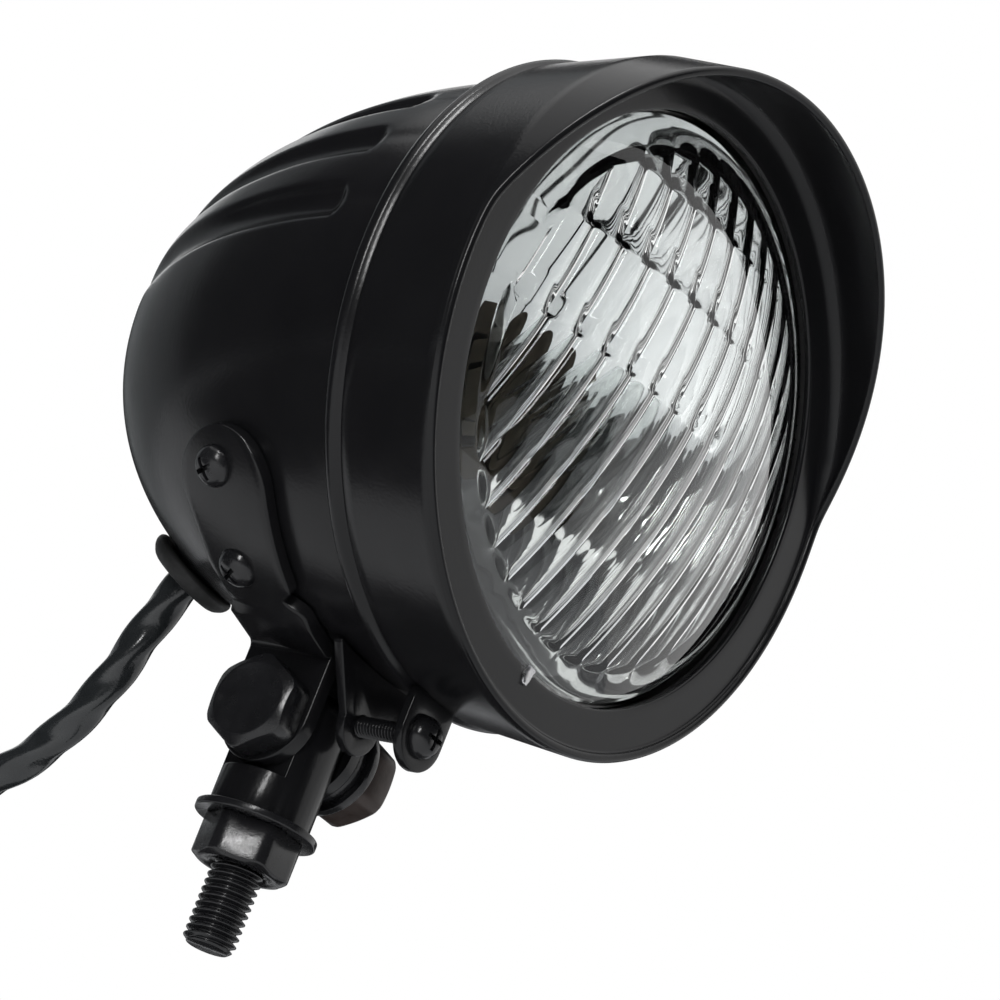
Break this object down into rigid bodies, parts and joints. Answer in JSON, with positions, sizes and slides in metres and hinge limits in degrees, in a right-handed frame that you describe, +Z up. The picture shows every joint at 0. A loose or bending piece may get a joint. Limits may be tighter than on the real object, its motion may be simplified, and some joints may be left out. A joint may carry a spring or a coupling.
{
  "type": "single visored motorbike headlight",
  "caption": "Black bullet-shaped motorbike headlight with a visored trim ring, fluted glass lens and grooved shell, tilting on a bottom-mount post with a threaded stud.",
  "frame": {"origin": "on the stud axis at the underside of the mount nut, where the free thread starts", "axes": "+Z up along the stud towards the lamp, -Y is the way the light shines, +X is the side of the pivot nut"},
  "size_m": [0.1292, 0.2253, 0.2707],
  "materials": {
    "satin_black_paint": "satin black paint",
    "black_steel": "black zinc plated steel",
    "bronzed_steel": "dark bronzed steel",
    "clear_glass": "clear moulded glass",
    "mirror_coat": "bright vacuum coating on steel",
    "black_rubber": "matt moulded rubber",
    "spring_steel": "bare spring steel",
    "bulb_brass": "brass",
    "socket_plastic": "moulded nylon",
    "sleeve_rubber": "satin sleeve",
    "tie_plastic": "nylon"
  },
  "bodies": {
    "mount": {"swivel_post": "satin_black_paint", "mount_stud": "black_steel", "mount_washer": "black_steel", "mount_nut": "black_steel"},
    "head": {"shell": "satin_black_paint", "trim_ring": "satin_black_paint", "clamp_tab": "satin_black_paint", "bracket_left": "satin_black_paint", "bracket_right": "satin_black_paint", "clamp_screw": "black_steel", "bracket_screws": "black_steel", "bracket_nuts": "black_steel", "pivot_bolt": "black_steel", "pivot_spring_washer": "black_steel", "pivot_washer": "black_steel", "pivot_nut": "bronzed_steel", "lens": "clear_glass", "bulb_glass": "clear_glass", "reflector": "mirror_coat", "lens_gasket": "black_rubber", "dust_boot": "black_rubber", "cable_grommet": "black_rubber", "lens_clips": "spring_steel", "bulb_clip": "spring_steel", "bulb_filaments": "spring_steel", "bulb_base": "bulb_brass", "bulb_terminals": "bulb_brass", "bulb_socket": "socket_plastic", "harness_plug": "socket_plastic", "inner_leads": "sleeve_rubber", "harness_lead": "sleeve_rubber", "harness_coil": "sleeve_rubber", "harness_tail": "sleeve_rubber", "harness_tie": "tie_plastic"}
  },
  "joints": [
    {"name": "head_tilt", "type": "hinge", "parent": "mount", "child": "head", "pos_m": [0, 0, 0.0278], "axis": [1, 0, 0], "range_deg": [-30, 30]}
  ]
}
